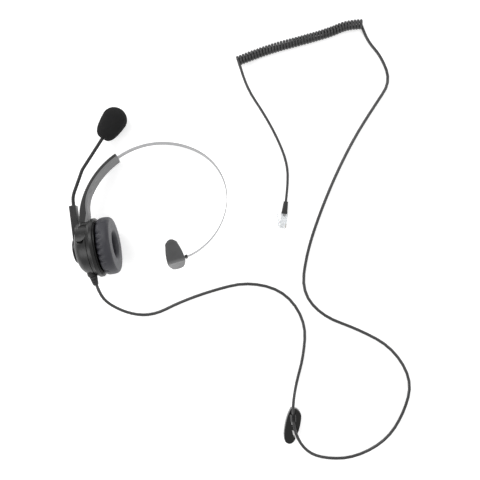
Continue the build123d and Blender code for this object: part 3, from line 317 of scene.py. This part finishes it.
def apply_modifier(piece, kind, **settings):
    """Add one modifier, set it and apply it."""
    make_active(piece)
    modifier = piece.modifiers.new(kind.lower(), kind)
    for key, value in settings.items():
        setattr(modifier, key, value)
    bpy.ops.object.modifier_apply(modifier=modifier.name)


def smooth(piece, material):
    piece.data.materials.clear()
    piece.data.materials.append(material)
    piece.data.polygons.foreach_set("use_smooth", [True] * len(piece.data.polygons))


# %% [markdown]
# ## Ear cushion
# The ear cushion is a tube of leatherette stuffed with foam and stretched over a ring. It is plump,
# its face is nearly flat, and its skin is gathered where it tucks in behind the rim. It starts as a
# torus a little too thin, is remeshed, and a short cloth simulation with air pressure swells it.
# The gathers are pulled in afterwards, because a remesh would lose them.

# %% Ear cushion
CUSHION_MID_R = 19.7
CUSHION_TUBE_R = 7.1                # half its thickness, before it swells
CUSHION_TUBE_DEEP = 7.9             # half its width from hole to rim
CUSHION_MID_X = 8.2
CUSHION_FACE = 15.7                 # local height of the front face
CUSHION_BACK = 0.75
CUSHION_SQUARE = 0.58              # below 1 the section is a rounded square
SWELL_CAP = 0.7                     # no point of the skin moves further
SWELL_FRAMES = 20
AIR_PRESSURE = 4
SKIN_MASS = 0.15
VOXEL = 1.3

deselect()
bpy.ops.mesh.primitive_torus_add(
    major_segments=72, minor_segments=28, major_radius=CUSHION_MID_R * MM,
    minor_radius=CUSHION_TUBE_R * MM, rotation=(0, pi / 2, 0), location=(CUSHION_MID_X * MM, 0, 0))
cushion = bpy.context.object
cushion.name = "ear_cushion_skin"
bpy.ops.object.transform_apply(location=True, rotation=True, scale=True)
for vertex in cushion.data.vertices:
    x, y, z = vertex.co / MM
    radius = hypot(y, z)
    turn = atan2(radius - CUSHION_MID_R, x - CUSHION_MID_X)
    wide = abs(cos(turn)) ** CUSHION_SQUARE * (1 if cos(turn) > 0 else -1) * CUSHION_TUBE_R
    tall = abs(sin(turn)) ** CUSHION_SQUARE * (1 if sin(turn) > 0 else -1) * CUSHION_TUBE_DEEP
    scale = (CUSHION_MID_R + tall) / radius
    vertex.co = MM * Vector((CUSHION_MID_X + wide, y * scale, z * scale))
apply_modifier(cushion, "REMESH", mode="VOXEL", voxel_size=VOXEL * MM)
before = [vertex.co.copy() for vertex in cushion.data.vertices]
make_active(cushion)
puff = cushion.modifiers.new("puff", "CLOTH")
puff.settings.use_pressure = True
puff.settings.uniform_pressure_force = AIR_PRESSURE
puff.settings.effector_weights.gravity = 0
puff.settings.mass = SKIN_MASS
bpy.context.scene.frame_start, bpy.context.scene.frame_end = 1, SWELL_FRAMES
for step in range(1, SWELL_FRAMES + 1):
    bpy.context.scene.frame_set(step)
bpy.ops.object.modifier_apply(modifier="puff")
bpy.context.scene.frame_set(1)
moved = [vertex.co - old for vertex, old in zip(cushion.data.vertices, before)]
for vertex, old, step in zip(cushion.data.vertices, before, moved):
    if step.length > SWELL_CAP * MM:
        vertex.co = old + step * (SWELL_CAP * MM / step.length)
print("cushion swelled by up to", round(max(step.length for step in moved) * 1000, 2), "mm")

# %% Flatten its face, tuck its back and gather its skin
GATHERS = [72, 84, 96, 108, 121, 134, 160, 198, 236, 275, 318, 12, 46]    # degrees round the cup
GATHER_DEPTH = 1.7
GATHER_WIDE = 2.4
GATHER_FROM_R = 20.5                # the gathers fade out towards the hole
GATHER_FADE_R = 4
GATHER_TOP = 8.5                    # and towards the face
GATHER_FADE_X = 4.5
FACE_ROUND = 1.2                    # the face starts to flatten this far under its top
FACE_FLAT = 0.75                    # share of that height that is pressed flat
apply_modifier(cushion, "SUBSURF", levels=1, render_levels=1)
for vertex in cushion.data.vertices:
    x, y, z = vertex.co / MM
    radius = hypot(y, z)
    around = atan2(z, y) * 180 / pi % 360
    push = max(0.0, x - CUSHION_FACE + FACE_ROUND)
    x -= push * FACE_FLAT
    x = max(x, CUSHION_BACK)
    out = max(0.0, min(1.0, (radius - GATHER_FROM_R) / GATHER_FADE_R))
    low = max(0.0, min(1.0, (GATHER_TOP - x) / GATHER_FADE_X))
    fold = sum(2.718 ** (-((around - g + 180) % 360 - 180) ** 2 / (2 * GATHER_WIDE ** 2 / 1.6))
               for g in GATHERS)
    scale = 1 - (GATHER_DEPTH * fold * out * low) / max(radius, 1)
    vertex.co = MM * Vector((x, y * scale, z * scale))
place_mesh(cushion, cup_frame)
smooth(cushion, leatherette)
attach(cushion, "ear_cup")
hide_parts("ear_cushion")
print("cushion triangles about", 2 * len(cushion.data.polygons))

# %% [markdown]
# ## Foam windscreen
# The windscreen is an open-celled foam egg, blunt at its mouth and rounder at its far end. A sphere
# gives the far end, and its other half is drawn out, tapered and made blunt. A remesh makes an even
# skin, and a light displacement gives the foam its soft unevenness. Its cells are in the material.

# %% Foam windscreen
FOAM_MOUTH = -5.2
FOAM_LONG = 34.4
FOAM_R = 12.3
FOAM_NECK_R = 10.4
FOAM_DIMPLE_R = 3.6                 # the skin sinks in round the gooseneck
FOAM_DIMPLE_LONG = 3
FOAM_DIMPLE = 2.2
FOAM_UNEVEN = 0.16
FOAM_LUMPS = 900                    # lumps for each metre
GOOSE_TIP_START = (-4.63, 80.99)
GOOSE_TIP_HEADING = 49.5
MIC_START = 37.2

mic_frame = boom_frame @ Matrix.Translation(MM * Vector((
    GOOSE_TIP_START[0] + MIC_START * cos(radians(GOOSE_TIP_HEADING)),
    GOOSE_TIP_START[1] + MIC_START * sin(radians(GOOSE_TIP_HEADING)), 0
))) @ Matrix.Rotation(radians(GOOSE_TIP_HEADING), 4, "Z")
FOAM_WIDE_AT = FOAM_MOUTH + FOAM_LONG - FOAM_R      # widest here, round beyond it
FOAM_BLUNT = 3.3                    # how square the mouth end is
deselect()
bpy.ops.mesh.primitive_uv_sphere_add(segments=48, ring_count=40, radius=FOAM_R * MM,
                                     rotation=(0, pi / 2, 0), location=(0, 0, 0))
foam = bpy.context.object
foam.name = "foam_sleeve"
bpy.ops.object.transform_apply(location=True, rotation=True, scale=True)
for vertex in foam.data.vertices:
    x, y, z = vertex.co / (MM * FOAM_R)
    if x >= 0:
        vertex.co.x += FOAM_WIDE_AT * MM
        continue
    radius = hypot(y, z)
    back = abs(x) ** (2 / FOAM_BLUNT)
    wide = radius ** (2 / FOAM_BLUNT)
    taper = 1 - (1 - FOAM_NECK_R / FOAM_R) * back
    scale = wide * taper / max(radius, 1e-6)
    vertex.co = MM * Vector((FOAM_WIDE_AT - back * (FOAM_WIDE_AT - FOAM_MOUTH),
                             y * scale * FOAM_R, z * scale * FOAM_R))
apply_modifier(foam, "REMESH", mode="VOXEL", voxel_size=0.9 * MM)
for vertex in foam.data.vertices:
    x, y, z = vertex.co / MM
    if x < FOAM_MOUTH + FOAM_DIMPLE_LONG and hypot(y, z) < FOAM_DIMPLE_R:
        vertex.co.x = (x + FOAM_DIMPLE * (1 - hypot(y, z) / FOAM_DIMPLE_R)) * MM
    uneven = noise.fractal(vertex.co * FOAM_LUMPS, 1.0, 2.0, 3)
    vertex.co += vertex.normal * (FOAM_UNEVEN * MM * uneven)
apply_modifier(foam, "SUBSURF", levels=1, render_levels=1)
place_mesh(foam, mic_frame)
smooth(foam, foam_cells)
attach(foam, "boom_tip")
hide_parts("foam_windscreen")
print("foam triangles about", 2 * len(foam.data.polygons))

# %% [markdown]
# ## Gooseneck
# A gooseneck is a close coil under a thin rubber sleeve, so it shows fine ribs and bends anywhere.
# CAD bends it at two points. Here it is two ribbed sleeves that meet halfway, each reaching across
# one bending point; both are baked in place as fixed meshes and do not follow the boom's bends.

# %% Gooseneck
GOOSE_R = 1.75
RIB_PITCH = 1.0
GOOSE_LINE = [
    (-20.4, 36), (-20.4, 43.6), (-19.9, 53.15), (-15.56, 61.67), (-12.38, 67.91), (-9.2, 74.15),
    (-7.32, 77.84), (-4.63, 80.99), (0.57, 87.07), (10.0, 98.13), (19.5, 109.27),
]
BEND_AT = {"lower": ((-12.38, 67.91), 63.0), "upper": ((0.57, 87.07), 49.5)}
MEET_AT = (-7.3, 77.6)


def smooth_line(points):
    """Points, in metres, along the smooth spline that these control points make."""
    curve = bpy.data.curves.new("guide", "CURVE")
    curve.dimensions = "3D"
    spline = curve.splines.new("NURBS")
    spline.points.add(len(points) - 1)
    for at, point in zip(spline.points, points):
        at.co = (*(MM * Vector(point)), 1)
    spline.order_u = 3
    spline.use_endpoint_u = True
    spline.resolution_u = 24
    guide = bpy.data.objects.new("guide", curve)
    mesh = bpy.data.meshes.new_from_object(guide)
    line = [vertex.co.copy() for vertex in mesh.vertices]
    bpy.data.meshes.remove(mesh)
    bpy.data.curves.remove(curve)
    return line


def at_length(line, distance):
    """The point and direction that far along a line."""
    for a, b in zip(line, line[1:]):
        step = (b - a).length
        if distance <= step or b is line[-1]:
            return a + (b - a) * (distance / max(step, 1e-9)), (b - a).normalized()
        distance -= step


def line_length(line):
    return sum((b - a).length for a, b in zip(line, line[1:]))


def ribbed_sleeve(name, line, start, stop, radius):
    """A tube along part of a line whose radius rises and falls with each rib."""
    curve = bpy.data.curves.new(name, "CURVE")
    curve.dimensions = "3D"
    count = int((stop - start) / (RIB_PITCH * MM)) * 4
    spline = curve.splines.new("POLY")
    spline.points.add(count)
    for k, point in enumerate(spline.points):
        spot, _ = at_length(line, start + (stop - start) * k / count)
        point.co = (*spot, 1)
        point.radius = (1.0, 0.97, 0.88, 0.97)[k % 4]
    curve.bevel_depth = radius * MM
    curve.bevel_resolution = 3
    curve.use_fill_caps = True
    sleeve = bpy.data.objects.new(name, curve)
    bpy.context.scene.collection.objects.link(sleeve)
    make_active(sleeve)
    bpy.ops.object.convert(target="MESH")
    return bpy.context.object


goose_line = smooth_line([(x, y, 0) for x, y in GOOSE_LINE])
goose_long = line_length(goose_line)
meet = min(range(400), key=lambda k: (at_length(goose_line, goose_long * k / 400)[0]
                                      - MM * Vector((*MEET_AT, 0))).length) / 400 * goose_long
for name, start, stop, bend, bodies, stands_for in (
    ("gooseneck_sleeve_low", 0.0, meet, "lower", ("boom", "boom_middle"),
     ("gooseneck_lower",)),
    ("gooseneck_sleeve_high", meet, goose_long, "upper", ("boom_middle", "boom_tip"),
     ("gooseneck_middle", "gooseneck_upper")),
):
    sleeve = ribbed_sleeve(name, goose_line, start, stop, GOOSE_R)
    place_mesh(sleeve, boom_frame)
    smooth(sleeve, rubber)
    (x, y), heading = BEND_AT[bend]
    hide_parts(*stands_for)
    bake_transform(sleeve)
print("gooseneck", round(goose_long * 1000, 1), "mm long, sleeves meet at", round(meet * 1000, 1))

# %% [markdown]
# ## Temple pad
# The T-shaped pad that rests above the other ear is a bent plate with a soft rubber face towards
# the head. The rubber is an oval plate, extruded, rounded by a remesh and smoothing, and bent at its
# ridge.

# %% Rubber face of the temple pad
PAD_HALF_LONG = 23.4
PAD_HALF_WIDE = 8.1
PAD_FRONT = 0.3                   # where the rubber meets the shell, at the ridge
PAD_THICK = 2.6
PAD_BEND = 16.3
PAD_SIDE_FULL = 0.8                 # below 1 the outline is fuller than an ellipse
PAD_END_FULL = 0.9
PAD_RIDGE_R = 1.6
PAD_RIDGE_SINK = 1.2
deselect()
bpy.ops.mesh.primitive_cylinder_add(
    vertices=64, radius=PAD_HALF_WIDE * MM, depth=PAD_THICK * MM, rotation=(pi / 2, 0, 0),
    location=(0, (PAD_FRONT - PAD_THICK / 2) * MM, 0))
pad = bpy.context.object
pad.name = "temple_pad_rubber"
bpy.ops.object.transform_apply(location=True, rotation=True, scale=True)
for vertex in pad.data.vertices:
    x, y, z = vertex.co
    turn = atan2(z, x)
    side, end = (1 if cos(turn) > 0 else -1), (1 if sin(turn) > 0 else -1)
    vertex.co.x = PAD_HALF_WIDE * MM * abs(cos(turn)) ** PAD_SIDE_FULL * side
    vertex.co.z = PAD_HALF_LONG * MM * abs(sin(turn)) ** PAD_END_FULL * end
apply_modifier(pad, "REMESH", mode="VOXEL", voxel_size=0.8 * MM)
apply_modifier(pad, "SMOOTH", iterations=4, factor=0.5)
slope = sin(radians(PAD_BEND)) / cos(radians(PAD_BEND))
for vertex in pad.data.vertices:
    away = hypot(vertex.co.z, PAD_RIDGE_R * MM)
    vertex.co.y -= away * slope - PAD_RIDGE_SINK * MM * slope
apply_modifier(pad, "SUBSURF", levels=1, render_levels=1)
place_mesh(pad, temple_frame)
smooth(pad, rubber)
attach(pad, "temple_pad")
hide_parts("temple_pad_cushion")
print("temple pad triangles about", 2 * len(pad.data.polygons))

# %% [markdown]
# ## The lead
# The cable is one piece from the strain relief to the plug: a stretch of smooth lead, a curly
# stretch wound on a mandrel, and a short tail. So it is modelled as one spline. Listed points
# carry the lead and the tail, and the curly stretch's turns are more points of the same spline,
# wound round a smooth axis line. The clip and the plug are pieces on it.

# %% Route of the lead, in millimetres
LEAD_R = 1.5
THIN_R = 1.3
WOUND_R = 1.45
CURL_R = 5.1
LEAD = [
    (-51.28, -75.95, 33.17), (-45.18, -92.54, 36.61), (-37.5, -104.8, 26.0), (-20.0, -116.8, 4.0),
    (2.0, -117.8, 1.6), (27.5, -104.8, 1.6), (59.5, -93.3, 1.6), (95.5, -84.3, 1.6),
    (132.5, -93.8, 1.6), (153.5, -124.8, 1.6), (150.8, -159.8, 1.6), (143.5, -185.8, 1.6),
    (139.4, -206.8, 9.7), (140.2, -228.8, 9.7), (150.0, -248.8, 8.6), (168.0, -260.3, 1.6),
    (200.0, -260.8, 1.6), (233.5, -243.3, 1.6), (251.5, -214.8, 1.6), (259.5, -182.8, 1.6),
    (239.5, -149.8, 1.6), (205.5, -131.8, 1.6), (169.5, -118.8, 1.6), (149.0, -93.8, 1.6),
    (154.0, -56.8, 1.6), (165.5, -20.8, 1.6), (181.8, 19.6, 1.6), (201.5, 59.2, 1.6),
    (222.5, 92.2, 1.6), (238.0, 115.2, 1.6), (228.5, 140.2, 1.6), (215.5, 154.7, 1.6),
]
CURL_AXIS = [
    (85.6, 134.7, 5.3), (113.6, 145.7, 5.3), (147.6, 154.7, 5.3), (177.6, 163.2, 5.3),
    (193.6, 170.7, 5.3), (208.6, 171.2, 5.3),
]
TAIL = [
    (95.0, 107.7, 1.3), (110.6, 84.7, 1.3), (124.3, 60.2, 1.3), (134.8, 34.2, 1.3),
    (135.29, 11.3, 3.83), (132.55, -9.6, 3.83),
]

# %% Wind the curly stretch and make the whole cable
TURNS = 42
STEPS = 10                 # control points in one turn
wind_r = (CURL_R - WOUND_R) * MM / cos(pi / STEPS) ** 0.5

axis_line = smooth_line(CURL_AXIS)[::-1]
axis_long = line_length(axis_line)
curl = []
for k in range(int((TURNS + 0.5) * STEPS) + 1):
    share = k / ((TURNS + 0.5) * STEPS)
    spot, along = at_length(axis_line, share * axis_long)
    across = Vector((0, 0, 1)).cross(along).normalized()
    up = along.cross(across)
    phase = -pi / 2 - 2 * pi * k / STEPS
    swell = 1 + 0.03 * noise.noise(Vector((k * 0.03, 0, 0)))
    offset = (across * cos(phase) + up * sin(phase)) * wind_r * swell
    curl.append(spot + offset)

route = [MM * Vector(p) for p in LEAD] + curl + [MM * Vector(p) for p in TAIL]
cable_curve = bpy.data.curves.new("lead_cable", "CURVE")
cable_curve.dimensions = "3D"
spline = cable_curve.splines.new("NURBS")
spline.points.add(len(route) - 1)
for k, (point, place) in enumerate(zip(spline.points, route)):
    point.co = (*place, 1)
    wound = len(LEAD) <= k < len(LEAD) + len(curl)
    point.radius = 1 if k < len(LEAD) else (WOUND_R if wound else THIN_R) / LEAD_R
spline.order_u = 3
spline.use_endpoint_u = True
spline.resolution_u = 4
cable = bpy.data.objects.new("lead_cable", cable_curve)
bpy.context.scene.collection.objects.link(cable)
thread = bpy.data.meshes.new_from_object(cable)
bpy.data.meshes.remove(thread)
cable_curve.bevel_depth = LEAD_R * MM
cable_curve.bevel_resolution = 2
cable_curve.use_fill_caps = True
make_active(cable)
bpy.ops.object.convert(target="MESH")
cable = bpy.context.object
smooth(cable, cable_skin)
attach(cable, "ear_cup")
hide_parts("lead_cord", "curly_cord", "tail_cord")

# %% Finish
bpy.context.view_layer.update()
